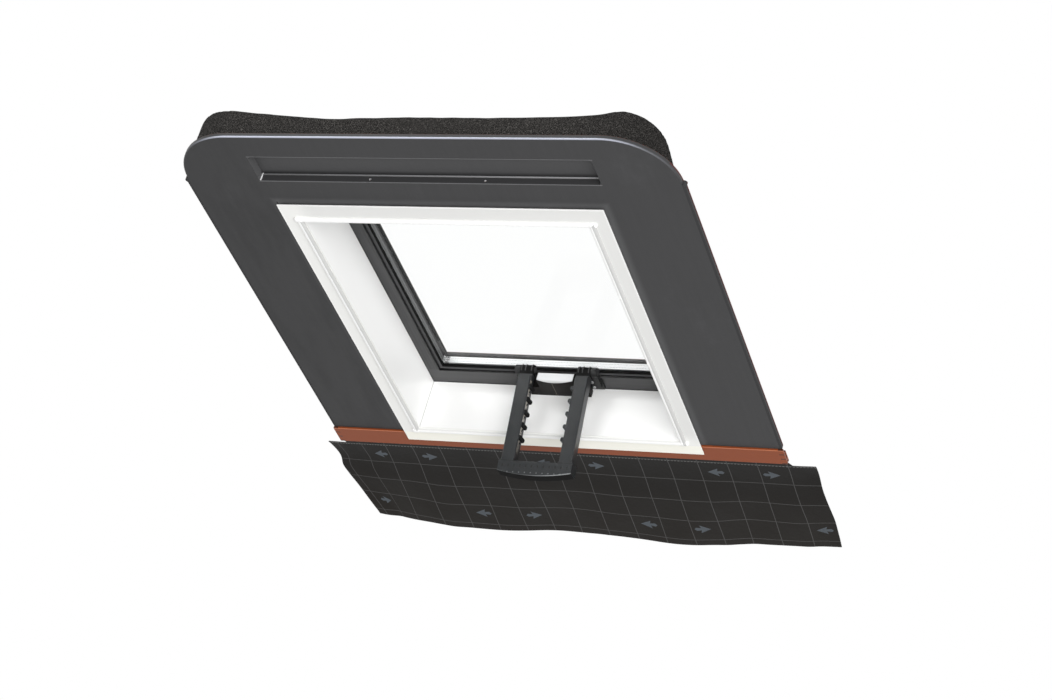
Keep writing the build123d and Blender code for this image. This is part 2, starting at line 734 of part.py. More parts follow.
for side, name in ((-1, "left"), (1, "right")):
    lug_inner = hardware_x + side * lug_low

    with BuildPart() as stay_bracket:
        with BuildSketch(Plane.XY.offset(sash_z)):
            with Locations((hardware_x + side * bracket_mid, bracket_y)):
                RectangleRounded(bracket_w, bracket_l, stay_round)
        extrude(amount=-bracket_t)
        with BuildSketch(section_plane(lug_inner)):
            with Locations((stay_y, stay_z)):
                Circle(lug_r)
            with Locations((stay_y - lug_run, sash_z)):
                Rectangle(lug_run, lug_r, align=(Align.MIN, Align.MAX))
        extrude(amount=side * lug_w)
        with BuildSketch(section_plane(lug_inner - side)):
            with Locations((stay_y, stay_z)):
                Circle(stay_pin_r + pin_gap)
        extrude(amount=side * (lug_w + 2), mode=Mode.SUBTRACT)
        bores(Plane.XY.offset(sash_z), bracket_screw_at, screw_r + screw_gap, -bracket_t)
    write(stay_bracket, f"stay_bracket_{name}")

    with BuildPart() as stay_pin:
        pin_start = hardware_x + side * (gap_half - pin_gap)
        pin_len = lug_low + lug_w + 2 * pin_gap - gap_half
        with BuildSketch(section_plane(pin_start)):
            with Locations((stay_y, stay_z)):
                Circle(stay_pin_r)
        extrude(amount=side * pin_len)
        for head_x, out in ((pin_start, -side), (pin_start + side * pin_len, side)):
            with BuildSketch(section_plane(head_x)):
                with Locations((stay_y, stay_z)):
                    Circle(stay_head_r)
            extrude(amount=out * pin_head_t)
    write(stay_pin, f"stay_pin_{name}")

with BuildPart() as stay_bracket_screws:
    screws(Plane.XY.offset(sash_z - bracket_t), bracket_screw_at,
           bracket_t + rail_floor + screw_bite / 2)
write(stay_bracket_screws, "stay_bracket_screws")

with BuildPart() as catch_block:
    with BuildSketch(cross_face(-clear_l / 2)):
        with Locations((catch_x, (catch_low + catch_base_high) / 2)):
            Rectangle(catch_base_w, catch_base_high - catch_low)
    extrude(amount=-catch_base_run)
    fillet(catch_block.edges().filter_by(Axis.Z).group_by(Axis.Y)[-1], stay_round)
    with BuildSketch(cross_face(-clear_l / 2)):
        with Locations((catch_x, (catch_low + catch_high) / 2)):
            Rectangle(catch_w, catch_high - catch_low)
    with BuildSketch(cross_face(catch_face_y)) as catch_face:
        with BuildLine():
            sides = Polyline((catch_x - catch_w / 2, catch_face_low),
                             (catch_x - catch_w / 2, catch_face_high),
                             (catch_x + catch_w / 2, catch_face_high),
                             (catch_x + catch_w / 2, catch_face_low))
            ThreePointArc(sides @ 0, (catch_x, catch_face_low - catch_bow), sides @ 1)
        make_face()
    loft()
    bores(cross_face(catch_face_y), [(x, catch_screw_z) for x in catch_screw_x],
          screw_r + screw_gap, catch_face_y + clear_l / 2)
    bores(cross_face(catch_face_y), [(x, catch_screw_z) for x in catch_screw_x],
          screw_head_r + touch, catch_face_y - catch_screw_seat)
write(catch_block, "catch_block")

with BuildPart() as catch_screws:
    screws(cross_face(catch_screw_seat), [(x, catch_screw_z) for x in catch_screw_x],
           catch_screw_seat + clear_l / 2 + lining_wall + screw_bite)
write(catch_screws, "catch_screws")

with BuildPart() as catch_label:
    with BuildSketch(cross_face(catch_face_y)):
        add(catch_face.sketch)
        offset(amount=-label_margin)
    extrude(amount=-label_t)
write(catch_label, "catch_label")
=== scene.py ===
"""Looks for a top-hung plastic roof window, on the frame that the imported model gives.

Everything is in metres in the window's own frame: X to the right seen from outside, Y up the slope
of the roof, Z outwards. The room is on the -Z side.
"""
from math import atan2, cos, pi, radians, sin

import bpy
from mathutils import Matrix, Vector, noise


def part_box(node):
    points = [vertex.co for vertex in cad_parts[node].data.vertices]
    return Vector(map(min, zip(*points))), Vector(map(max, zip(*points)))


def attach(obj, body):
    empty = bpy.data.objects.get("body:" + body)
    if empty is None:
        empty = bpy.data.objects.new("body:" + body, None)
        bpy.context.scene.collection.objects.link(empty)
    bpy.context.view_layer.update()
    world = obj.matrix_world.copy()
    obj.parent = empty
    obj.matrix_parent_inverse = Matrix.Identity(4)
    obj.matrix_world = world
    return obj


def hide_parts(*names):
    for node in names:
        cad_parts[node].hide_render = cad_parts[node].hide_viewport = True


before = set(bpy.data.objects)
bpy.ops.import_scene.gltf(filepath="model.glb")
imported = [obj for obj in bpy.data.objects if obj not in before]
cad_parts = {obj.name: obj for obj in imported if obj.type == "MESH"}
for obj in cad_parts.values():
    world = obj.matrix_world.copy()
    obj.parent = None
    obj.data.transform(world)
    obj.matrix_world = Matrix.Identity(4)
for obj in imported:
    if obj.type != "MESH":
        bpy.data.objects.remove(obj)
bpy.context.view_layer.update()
MM = 0.001


# ---------------------------------------------------------------- places that the finishes follow

# Half the clear opening, half the lining's flange, and where the painted highlight along the flange's outer
# edge begins
OPENING_X, OPENING_Y = 0.225, 0.275
FLANGE_X, FLANGE_Y = 0.257, 0.313
EDGE_HIGHLIGHT_X, EDGE_HIGHLIGHT_Y = 0.2556, 0.3116
# Towards the room: where the flange, its bead and the bead's crest begin
FLANGE_Z, BEAD_Z, CREST_Z = -0.0045, -0.0062, -0.0085
# Out from the opening: the bead's inner and outer slope, the fine line below it and the painted shade lines
# in the reveal's corners
INNER_SLOPE, OUTER_SLOPE, LINE_OUT, CORNER_SHADE_OUT = 0.0052, (0.0062, 0.0110), 0.0020, -0.0011
FLANGE_FOOT = -0.2895
# The painted shadow along the gap beside the lining's +X edge, and where the band of painted light round the
# lining ends
GAP_SHADOW_X, GAP_SHADOW_HALF_Y, BAND_FOOT = 0.2580, 0.314, -0.31
# The plate's rim, its round corners, the bend above which the rim gets a painted highlight and below which
# painted shade, and the batten trough
RIM_X, RIM_Y, RIM_Z = 0.3845, 0.4605, 0.0079
TURN_X, TURN_Y, TURN_R = 0.286, 0.362, 0.0985
RIM_BEND = 0.37
TROUGH_HALF, TROUGH_LOW, TROUGH_HIGH, TROUGH_TOP = 0.2667, 0.3619, 0.4181, 0.0133
# The two nail holes in the trough's lower wall
NAIL_X, NAIL_R, NAIL_Y, NAIL_Z = 0.090, 0.0022, (0.3590, 0.36248), (0.0032, 0.0074)
# The sash's middle, half of what its rails leave open, its lower rail and the step that holds the glass
SASH_MID, SASH_HALF_Y, LOW_RAIL = 0.0055, 0.2485, -0.2405
STEP_FROM, STEP_TO = 0.0872, 0.0876
CAP_HALF_X, CAP_HALF_Y, CAP_INSIDE_Z = 0.2135, 0.2585, 0.1207
SPACER_MID = sum(corner[2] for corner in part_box("glass_spacer")) / 2
SPACER_ROW, SPACER_PITCH, SPACER_HOLE = 0.0028, 0.0026, 0.00045
# The stay's pins and lean, one arm's inner wall and its teeth, and places down the length of the grip
STAY_X, STAY_Y, STAY_Z, STAY_LEAN = -0.008, -0.228, 0.0855, radians(10.5)
ARM_WALL, TOOTH, TEETH = 0.038, (0.0325, 0.0373), (0.022, 0.150)
GRIP_FROM, GRIP_LINE, GRIP_SLOTS, GRIP_CHIN, GRIP_STUDS = 0.1625, 0.1650, 0.1735, 0.176, 0.1845
GRIP_PITCH = 0.010
# The clamp's upper edge with its painted highlight, and the painted shade lines where it is folded near its
# ends
CLAMP_EDGE, FOLDS_FROM, FOLD_PITCH = -0.2964, 0.3815, 0.0125
# The apron's flat size, then its printed squares, rows of arrows and stitched line
APRON_W, APRON_LEN = 0.860, 0.223
GRID_X, GRID_Y, GRID_PITCH = 0.015, 0.065, 0.050
PRINT_X, PRINT_PITCH, UPPER_ROW, LOWER_ROW = 0.287, 0.297, 0.043, 0.181
ARROW_GAP, ARROW_TIP = 0.046, 0.0143
STITCH_ROW, STITCH_PITCH, STITCH = 0.0182, 0.0056, 0.0034
# Added before a remainder is taken, to set where a row of repeated marks starts
SHIFT, GRIP_SHIFT = 10.0, 1.0
# How much darker and lighter moulded plastic gets where it has flowed
MOTTLE = 0.12


# ---------------------------------------------------------------- materials

def tone(red, green, blue):
    """A colour given in 0 to 255, as linear light."""
    def one(value):
        value = value / 255
        return value / 12.92 if value <= 0.04045 else ((value + 0.055) / 1.055) ** 2.4
    return (one(red), one(green), one(blue), 1.0)


def grey(value):
    return tone(value, value, value)


class Value:
    """A number that varies over a surface and takes part in plain sums."""

    def __init__(self, look, out):
        self.look, self.out = look, out

    def maths(self, operation, *others):
        node = self.look.node("Math", {"operation": operation}, self, *others)
        return Value(self.look, node.outputs[0])

    def back(self, operation, other):
        node = self.look.node("Math", {"operation": operation}, other, self)
        return Value(self.look, node.outputs[0])

    def __add__(self, other): return self.maths("ADD", other)
    def __radd__(self, other): return self.back("ADD", other)
    def __sub__(self, other): return self.maths("SUBTRACT", other)
    def __rsub__(self, other): return self.back("SUBTRACT", other)
    def __mul__(self, other): return self.maths("MULTIPLY", other)
    def __rmul__(self, other): return self.back("MULTIPLY", other)
    def __mod__(self, other): return self.maths("FLOORED_MODULO", other)
    def __pow__(self, other): return self.maths("POWER", other)
    def __gt__(self, other): return self.maths("GREATER_THAN", other)
    def __lt__(self, other): return self.maths("LESS_THAN", other)
    def __neg__(self): return self.back("MULTIPLY", -1.0)
    def __abs__(self): return self.maths("ABSOLUTE")

    def most(self, other):
        return self.maths("MAXIMUM", other)

    def inside(self, low, high):
        """1 from low to high and 0 elsewhere."""
        return (self > low) * (self < high)

    def near(self, spot, reach):
        """1 within reach of a spot and 0 elsewhere."""
        return abs(self - spot) < reach

    def between(self, low, high):
        """0 below low and 1 above high, smoothly."""
        node = self.look.node("MapRange", {"interpolation_type": "SMOOTHSTEP"}, self, low, high, 0.0, 1.0)
        return Value(self.look, node.outputs[0])


class Look:
    """One material or world, with its shader tree."""

    def __init__(self, name, world=False):
        self.owner = (bpy.data.worlds if world else bpy.data.materials).new(name)
        self.owner.use_nodes = True
        self.tree = self.owner.node_tree
        self.tree.nodes.clear()
        self.output = self.node("OutputWorld" if world else "OutputMaterial", {})
        if not world:
            coords = self.node("TexCoord", {})
            self.place, self.facing = coords.outputs["Object"], coords.outputs["Normal"]
            self.x, self.y, self.z = self.split(self.place)

    def node(self, kind, settings, *values, **named):
        """A shader node of a kind, with its settings made first and then its sockets."""
        node = self.tree.nodes.new("ShaderNode" + kind)
        for key, value in settings.items():
            setattr(node, key, value)
        for key, value in [*enumerate(values), *named.items()]:
            if value is None:
                continue
            socket = node.inputs[key.replace("_", " ") if isinstance(key, str) else key]
            self.feed(socket, value)
        return node

    def feed(self, socket, value):
        """Link a value to a socket, or set the socket to a plain number or colour."""
        value = value.out if isinstance(value, Value) else value
        if isinstance(value, bpy.types.NodeSocket):
            self.tree.links.new(value, socket)
        else:
            socket.default_value = value

    def split(self, vector):
        parts = self.node("SeparateXYZ", {}, vector)
        return [Value(self, out) for out in parts.outputs]

    def normal(self):
        """The surface's own direction, as three numbers."""
        return self.split(self.facing)

    def noise(self, scale, detail=3.0, rough=0.5, stretch=None):
        """Soft noise between 0 and 1, with scale features to the metre."""
        place = self.node("Mapping", {}, self.place, Scale=stretch).outputs[0] if stretch else self.place
        node = self.node("TexNoise", {}, Vector=place, Scale=scale, Detail=detail, Roughness=rough)
        return Value(self, node.outputs[0])

    def cells(self, scale, feature="F1"):
        """Distance to the nearest of many points, or to the border between them."""
        node = self.node("TexVoronoi", {"feature": feature}, Vector=self.place, Scale=scale)
        return Value(self, node.outputs["Distance"])

    def blend(self, share, first, second):
        """One colour passing into another as share goes from 0 to 1."""
        node = self.node("Mix", {"data_type": "RGBA"})
        for index, value in ((0, share), (6, first), (7, second)):
            self.feed(node.inputs[index], value)
        return node.outputs[2]

    def coats(self, colour, *rows):
        """A colour with others laid over it in turn, each given as its share and its own colour."""
        for share, over in rows:
            colour = self.blend(share, colour, over)
        return colour

    def bump(self, height, depth, under=None):
        """A relief of a height between 0 and 1, depth metres deep."""
        return self.node("Bump", {}, Height=height, Distance=depth, Strength=1.0, Normal=under).outputs[0]

    def seen(self):
        """1 for rays from the eye, through glass or off a mirror, and 0 for soft light."""
        path = self.node("LightPath", {})
        eye, through, off = (Value(self, path.outputs[f"Is {kind} Ray"])
                             for kind in ("Camera", "Transmission", "Glossy"))
        return eye.most(through).most(off)

    def mix(self, share, first, second):
        return self.node("MixShader", {}, share, first.outputs[0], second.outputs[0])

    def show(self, shader):
        self.tree.links.new(shader.outputs[0], self.output.inputs["Surface"])
        return self.owner

    def finish(self, **sockets):
        return self.show(self.node("BsdfPrincipled", {}, **sockets))


def moulded(name, colour):
    """Moulded plastic with a fine grain, faint flow marks and uneven shine."""
    look = Look(name)
    flow = look.noise(6.0, 4.0, 0.6, stretch=(1.0, 0.35, 1.0))
    fine = look.noise(900.0, 2.0)
    scuffs = look.noise(55.0, 6.0, 0.7)
    dark, light = ([part * share for part in colour[:3]] + [1.0] for share in (1 - MOTTLE, 1 + MOTTLE))
    return look.finish(Base_Color=look.blend(flow, dark, light), Roughness=0.44 + 0.08 * flow + 0.05 * scuffs,
                       Normal=look.bump(fine, 0.04 * MM, look.bump(flow, 0.4 * MM)))


def flashing_look():
    """Two-colour sheet: dark grey towards the room, clay red on the weather side and its cut edge, with
    painted light, shade and highlights round the lining, on the rim and in the trough.
    """
    look = Look("flashing_sheet")
    nx, ny, _ = look.normal()
    across = abs(look.x)
    flow = look.noise(5.0, 4.0, 0.6, stretch=(1.0, 0.4, 1.0))
    fine = look.noise(1100.0, 2.0)
    scuffs = look.noise(70.0, 6.0, 0.7)
    drawn = look.noise(9.0, 5.0, 0.65, stretch=(14.0, 0.5, 1.0))
    rubbed = look.noise(7.0, 5.0, 0.7, stretch=(1.0, 0.6, 1.0)).between(0.56, 0.8)
    dark_patches = look.noise(12.0, 4.0, 0.6, stretch=(2.5, 0.5, 1.0)).between(0.42, 0.70) * (look.x > FLANGE_X)
    in_trough = (across < TROUGH_HALF) * look.y.inside(TROUGH_LOW, TROUGH_HIGH) * (look.z < TROUGH_TOP)
    past_x, past_y = across - TURN_X, look.y - TURN_Y
    round_corner = ((past_x * past_x + past_y * past_y) ** 0.5 > TURN_R) * (past_x > 0) * (past_y > 0)
    rim = (across > RIM_X).most(look.y > RIM_Y).most(round_corner) * (look.z < RIM_Z)
    low_rim = rim * (look.y < RIM_BEND)
    hole = across.near(NAIL_X, NAIL_R) * look.y.inside(*NAIL_Y) * look.z.inside(*NAIL_Z)
    weather = look.z.between(0.0008, 0.0014) * (1 - in_trough) * (1 - rim) * (1 - hole)
    # Beside the lining: a band of painted light round it, and a painted shadow along the gap at its +X edge
    beside = (look.y - FLANGE_Y).most(across - FLANGE_X).between(-0.001, 0.013)
    gap_shadow = look.x.near(GAP_SHADOW_X, 0.0011) * (abs(look.y) < GAP_SHADOW_HALF_Y) * (look.z < 0.0006)
    # In the trough: a painted highlight at the foot of its lower wall and painted shade above it, painted
    # light on its ends, and painted glints on its turned corners
    foot_highlight = in_trough * (look.z > 0.0108) * (look.y < 0.3640)
    shade = in_trough * (look.z > 0.0112) * (1 - look.y.between(0.3650, 0.3740)) * (1 - foot_highlight)
    ends = in_trough * (abs(nx) > 0.6)
    # Painted shade on the trough's lower wall, and a painted highlight along its mouth
    lower_wall = in_trough * (ny > 0.7) * (1 - foot_highlight)
    turned = in_trough * abs(nx).near(0.72, 0.10) * (ny > 0.3) * (look.x > 0)
    mouth = (across < TROUGH_HALF + 0.001) * (look.z < 0.0009) * (
        (abs(look.y - TROUGH_LOW - 0.0003) < 0.0007).most(abs(look.y - TROUGH_HIGH + 0.0003) < 0.0007))
    # A painted highlight along the rim's upper part, which fades towards both sides
    rim_highlight = (rim * look.y.between(RIM_BEND, 0.45) * (0.06 + 0.94 * (1 - look.x.between(0.28, 0.36)))
             * (1 - 0.9 * (-look.x).between(0.27, 0.36))
             * look.z.between(0.0002, 0.0010) * (1 - look.z.between(0.0024, 0.0034)))
    under = look.coats(
        look.blend(0.55 * flow + 0.45 * drawn, tone(48, 48, 49), tone(65, 65, 66)),
        (0.35 * rubbed, tone(80, 80, 82)),
        # Painted shade: the sheet darker towards +X
        (0.35 * look.x.between(0.05, 0.40), tone(36, 36, 37)),
        (0.75 * (1 - beside) * (look.y > BAND_FOOT), tone(94, 94, 95)),
        # Painted shade on the rim below the bend
        (low_rim * 0.8, tone(52, 52, 53)),
        (rim * (abs(nx) > 0.9) * (look.z > 0.0050), tone(74, 34, 32)),
        # Darker patches on the sheet past the lining's +X edge
        (0.4 * dark_patches, tone(36, 36, 37)),
        (gap_shadow * 0.85, grey(8)),
        # Painted light on the trough's inside and ends, then painted shade above its foot and on its lower
        # wall
        (in_trough * 0.45, tone(84, 84, 85)),
        (ends * 0.8, tone(88, 88, 89)),
        (shade * 0.8, tone(20, 20, 21)),
        (lower_wall * 0.6, tone(36, 36, 37)),
        # The nail holes painted light, as light showing through them
        (hole, tone(190, 190, 192)),
        # Painted highlights along the trough's foot and mouth, and painted glints on its turned corners
        (foot_highlight * (0.52 - 1.1 * look.x), tone(166, 166, 168)),
        (mouth * 0.5, tone(130, 130, 132)),
        (turned * 0.85, tone(225, 225, 226)),
        (rim_highlight, tone(178, 181, 194)))
    over = look.blend(flow, tone(126, 70, 48), tone(142, 82, 58))
    shine = 0.44 + 0.10 * flow + 0.06 * scuffs - 0.12 * rim + 0.35 * low_rim
    return look.finish(Base_Color=look.blend(weather, under, over), Roughness=shine,
                       Metallic=rim_highlight * 0.65, Specular_IOR_Level=0.22,
                       Normal=look.bump(fine, 0.03 * MM, look.bump(flow, 0.6 * MM)))


def lining_look():
    """Shiny white plastic, with faint moulding waves and a little dust on its flange; painted light and shade
    on its reveal, bead, edges and corners.
    """
    look = Look("lining_white")
    flow = look.noise(9.0, 3.0)
    fine = look.noise(700.0, 2.0)
    dust = look.noise(160.0, 5.0, 0.75).between(0.62, 0.85)
    speck = look.cells(260.0).between(0.0, 0.10)
    on_flange = look.z < FLANGE_Z
    out_x, out_y = abs(look.x) - OPENING_X, abs(look.y) - OPENING_Y
    off = out_x.most(out_y)
    leaning = out_x > out_y
    # The bead's two slopes painted in shade, its crest painted as a highlight, and the fine line beside it
    # along the bottom
    on_bead = on_flange * (look.z < BEAD_Z)
    inner = on_bead * (off < INNER_SLOPE) * leaning * (look.x > 0)
    outer = on_bead * off.inside(*OUTER_SLOPE) * leaning * (look.x < 0)
    crest_highlight = on_flange * (look.z < CREST_Z) * (1 - inner) * (1 - outer)
    line = on_flange * (look.y < 0) * (1 - leaning) * out_y.near(LINE_OUT, 0.0009)
    edge_highlight = on_flange * (abs(look.x) > EDGE_HIGHLIGHT_X).most(abs(look.y) > EDGE_HIGHLIGHT_Y)
    below = on_flange * (look.y < FLANGE_FOOT)
    # Painted shade in the reveal's corners, where two walls meet
    fine_grey_line = (1 - on_flange) * (out_x > CORNER_SHADE_OUT) * (out_y > CORNER_SHADE_OUT)
    # Painted light: the flange lighter on its +X and lower sides than on the others
    far = look.x.most(-look.y - 0.05).between(0.20, 0.24)
    clean = look.coats(
        # Painted light: the reveal lighter towards the sash than at the room edge
        look.blend(look.z.between(0.015, 0.075), tone(246, 246, 245), tone(255, 255, 254)),
        (0.3 * flow, tone(252, 252, 251)),
        (on_flange, look.blend(far, tone(226, 226, 224), tone(242, 242, 239))),
        (inner.most(outer) * 0.8, tone(188, 188, 187)),
        (crest_highlight, tone(255, 255, 254)),
        (line * 0.8, tone(212, 212, 210)),
        # Painted highlight along the flange's outer edge
        (edge_highlight * 0.9, tone(255, 255, 254)),
        (fine_grey_line * 0.75, tone(196, 196, 194)),
        (below * 0.6, tone(255, 253, 238)),
        (on_flange * (1 - speck) * 0.2, tone(215, 214, 210)),
        (0.25 * dust * on_flange, tone(216, 213, 206)))
    return look.finish(Base_Color=clean, Roughness=0.26 + 0.10 * flow + 0.2 * dust,
                       Normal=look.bump(fine, 0.02 * MM, look.bump(flow, 0.5 * MM)))


def foam_look():
    """Open-cell foam: torn cells of about a millimetre, with thin light ribs."""
    look = Look("open_foam")
    large = look.cells(420.0)
    small = look.cells(900.0)
    cloudy = look.noise(60.0, 5.0, 0.7)
    rib = 1 - look.cells(560.0, "DISTANCE_TO_EDGE").between(0.02, 0.14)
    pit = large.between(0.2, 0.5) * 0.6 + small.between(0.25, 0.5) * 0.4
    grain = look.noise(330.0, 2.0, 0.6).between(0.40, 0.60)
    shade = 0.4 * (1 - look.x.between(-0.38, -0.20))
    cells = look.coats(
        look.blend(cloudy, tone(22, 21, 20), tone(34, 33, 32)),
        (pit * 0.85, grey(4)),
        (rib * 0.66, tone(118, 115, 112)),
        (0.45 * grain, tone(16, 15, 14)),
        (shade, tone(14, 13, 12)))
    return look.finish(Base_Color=cells, Roughness=0.95, Specular_IOR_Level=0.1,
                       Normal=look.bump(pit, 1.2 * MM, look.bump(cloudy, 1.0 * MM)))


def apron_look():
    """Flexible apron: grey-black sheet with a thin printed grid and pairs of plain arrows."""
    look = Look("apron_sheet")
    u, v, _ = look.split(look.node("UVMap", {"uv_map": "UVMap"}).outputs[0])
    across = (u - 0.5) * APRON_W
    down = v * APRON_LEN
    weave = look.noise(420.0, 4.0, 0.7)
    handled = look.noise(14.0, 5.0, 0.6)
    wear_and_reflection = 0.70 + 0.30 * look.noise(260.0, 4.0, 0.8)

    def from_nearest(along, start, pitch):
        """How far a place lies from the nearest of many marks, a pitch apart."""
        return (along - start + pitch / 2) % pitch - pitch / 2

    def ruled(along, start, pitch):
        return 1 - abs(from_nearest(along, start, pitch)).between(0.00035, 0.0008)

    def arrow_row(row, start):
        reach = abs(from_nearest(across, start, PRINT_PITCH)) - ARROW_GAP
        off = abs(down - row)
        head = (off < (ARROW_TIP - reach) * 0.52) * (reach > -0.0015 - off * 0.28) * (reach < ARROW_TIP)
        shaft = (off < 0.0024 - reach * 0.13) * (reach > -0.0142 + off * 0.9) * (reach < 0.003)
        return head.most(shaft)

    grid = ruled(across, GRID_X, GRID_PITCH).most(ruled(down, GRID_Y, GRID_PITCH * 0.96))
    arrows = arrow_row(UPPER_ROW, PRINT_X).most(arrow_row(LOWER_ROW, PRINT_X + PRINT_PITCH / 2))
    stitch = (((across + SHIFT) % STITCH_PITCH) < STITCH) * down.near(STITCH_ROW, 0.0007)
    printed = look.coats(
        look.blend(handled, tone(10, 9, 8), tone(19, 17, 15)),
        (v * 0.6, tone(24, 18, 11)),
        (grid * wear_and_reflection * 0.55, grey(98)),
        (arrows * wear_and_reflection * 0.95, tone(82, 88, 94)),
        (stitch * 0.75, tone(112, 112, 110)))
    return look.finish(Base_Color=printed, Roughness=0.46 + 0.14 * handled - 0.08 * grid,
                       Specular_IOR_Level=0.2,
                       Normal=look.bump(weave, 0.12 * MM, look.bump(handled, 1.6 * MM)))


def painted_clay():
    """Satin clay-red paint on folded metal, a little lighter where it is rubbed, with a painted highlight on
    its upper edge and painted shade lines near its ends.
    """
    look = Look("clay_paint")
    _, _, nz = look.normal()
    rub = look.noise(90.0, 6.0, 0.7, stretch=(0.15, 1.0, 1.0)).between(0.55, 0.8)
    peel = look.noise(650.0, 2.0)
    edge = (nz < -0.7) * (look.y > CLAMP_EDGE)
    fold_shade = (abs(look.x) > FOLDS_FROM) * ((look.y + SHIFT) % FOLD_PITCH).near(0.006, 0.0012)
    body = look.coats(
        look.blend(rub, tone(131, 63, 29), tone(146, 76, 40)),
        # Painted highlight on the upper edge, then painted shade lines where the metal is folded
        (edge * 0.7, tone(196, 124, 92)),
        (fold_shade * 0.8, tone(40, 22, 16)))
    return look.finish(Base_Color=body, Roughness=0.42 + 0.12 * rub, Specular_IOR_Level=0.25,
                       Normal=look.bump(peel, 0.03 * MM))


def zinc():
    """Plain zinc-plated steel with fine turning marks."""
    look = Look("zinc_steel")
    bloom = look.noise(240.0, 5.0, 0.7)
    return look.finish(Base_Color=look.blend(bloom, tone(176, 178, 180), tone(206, 207, 206)),
                       Metallic=1.0, Roughness=0.24 + 0.22 * bloom,
                       Normal=look.bump(look.noise(1800.0), 0.02 * MM))


def dark_metal():
    """Dark powder coat on steel."""
    look = Look("dark_coat")
    orange = look.noise(900.0, 2.0)
    chip = look.noise(130.0, 6.0, 0.75).between(0.7, 0.76)
    return look.finish(Base_Color=look.blend(chip, tone(44, 44, 45), tone(70, 70, 71)),
                       Roughness=0.38 + 0.2 * orange, Normal=look.bump(orange, 0.06 * MM))


def rubber(name, low, side):
    """Matt rubber, given one grey along the lower rail and another along the sides, so that painted light can
    make the lower rail lighter.
    """
    look = Look(name)
    fine = look.noise(800.0, 3.0)
    bloom = look.noise(40.0, 4.0)
    _, ny, nz = look.normal()
    # Faces on the lower rail, which take the grey set for painted light there
    lower = (look.y < -0.2) * (nz < -0.7).most(abs(ny) > 0.7)
    face = look.blend(lower, grey(side), grey(low))
    return look.finish(Base_Color=look.blend(bloom * 0.5, face, grey(16)), Roughness=0.7 + 0.15 * fine,
                       Specular_IOR_Level=0.1, Normal=look.bump(fine, 0.05 * MM))


def bead_foam():
    """White insulation pressed from beads."""
    look = Look("bead_foam")
    bead = look.cells(320.0)
    edge = look.cells(320.0, "DISTANCE_TO_EDGE").between(0.0, 0.12)
    return look.finish(Base_Color=look.blend(edge, tone(205, 208, 212), tone(236, 238, 240)),
                       Roughness=0.7, Normal=look.bump(1 - bead, 0.6 * MM))


def spacer_look():
    """Bright folded spacer bar with two rows of small holes that let the drying grains breathe, its side bars
    painted dark as shade.
    """
    look = Look("spacer_bar")
    nx, ny, _ = look.normal()
    along = look.x * abs(ny) + look.y * abs(nx)
    rise = abs(look.z - SPACER_MID)
    holes = rise.near(SPACER_ROW, SPACER_HOLE)
    holes = holes * ((along + SHIFT) % SPACER_PITCH).near(SPACER_PITCH / 2, SPACER_HOLE)
    brushed = look.noise(900.0, 2.0, stretch=(1.0, 1.0, 0.1))
    fine_grey_line = rise < 0.0003
    shaded_sides = abs(nx) > 0.7
    key = (look.x > 0.190) * (look.y < -0.234)
    key_grain = look.noise(420.0, 3.0, 0.7).between(0.44, 0.56)
    body = look.coats(
        look.blend(brushed, tone(226, 228, 229), tone(242, 243, 243)),
        (holes, tone(104, 106, 108)),
        # Painted shade: the side bars dark, and darker still towards the outside
        (shaded_sides * 0.92, tone(58, 59, 60)),
        (shaded_sides * (look.z > 0.1085), tone(26, 26, 27)),
        (key * 0.9, look.blend(key_grain, tone(78, 79, 80), tone(232, 233, 233))),
        (fine_grey_line * 0.25, grey(150)))
    return look.finish(Base_Color=body, Metallic=0.25, Roughness=0.38 + 0.1 * brushed,
                       Normal=look.bump(1 - holes, 0.2 * MM))


def pane_look():
    """Clear float glass that lets light through and mirrors a little."""
    look = Look("float_glass")
    clear = look.node("BsdfTransparent", {}, (0.997, 0.999, 0.998, 1.0))
    film = look.node("BsdfGlossy", {}, Color=(1.0, 1.0, 1.0, 1.0), Roughness=0.02)
    edge_on = Value(look, look.node("LayerWeight", {}, Blend=0.5).outputs["Facing"])
    return look.show(look.mix(0.003 + 0.12 * edge_on ** 5.0, clear, film))


def sash_look():
    """Grey plastic with lines drawn along each rail, with painted shade in the steps round the glass and
    painted light on the lower rail.
    """
    look = Look("sash_plastic")
    _, _, nz = look.normal()
    fine = look.noise(1200.0, 2.0)
    side = look.noise(260.0, 4.0, 0.6, stretch=(1.0, 0.02, 1.0))
    end = look.noise(260.0, 4.0, 0.6, stretch=(0.02, 1.0, 1.0))
    at_end = abs(look.y - SASH_MID) > SASH_HALF_Y
    drawn = at_end * end + (1 - at_end) * side
    step = look.z.between(STEP_FROM, STEP_TO)
    ledge = step * (nz < -0.7)
    low_rail = (look.y < LOW_RAIL) * (1 - step)
    body = look.coats(
        look.blend(drawn.between(0.3, 0.7), tone(36, 36, 37), tone(57, 57, 58)),
        # Painted light on the lower rail
        (low_rail * 0.7, tone(64, 64, 65)),
        # Painted shade in the steps round the glass; their ledges lighter, and lighter still along the lower
        # rail as painted light
        (step, tone(10, 10, 11)),
        (ledge * 0.9, look.blend(look.y < -0.24, tone(76, 76, 77), tone(98, 98, 99))))
    return look.finish(Base_Color=body, Roughness=0.34 + 0.12 * drawn, Specular_IOR_Level=0.4,
                       Normal=look.bump(fine, 0.02 * MM, look.bump(drawn, 0.12 * MM)))


def cap_look():
    """Clay-red moulded cap, dark grey on its inner edge and under it."""
    look = Look("cap_plastic")
    flow = look.noise(6.0, 4.0, 0.6)
    fine = look.noise(1000.0, 2.0)
    inside = (abs(look.x) < CAP_HALF_X) * look.y.near(SASH_MID, CAP_HALF_Y) * (look.z < CAP_INSIDE_Z)
    body = look.blend(flow, tone(126, 70, 48), tone(144, 84, 60))
    return look.finish(Base_Color=look.blend(inside, body, tone(78, 78, 79)), Roughness=0.42,
                       Normal=look.bump(fine, 0.04 * MM, look.bump(flow, 0.4 * MM)))


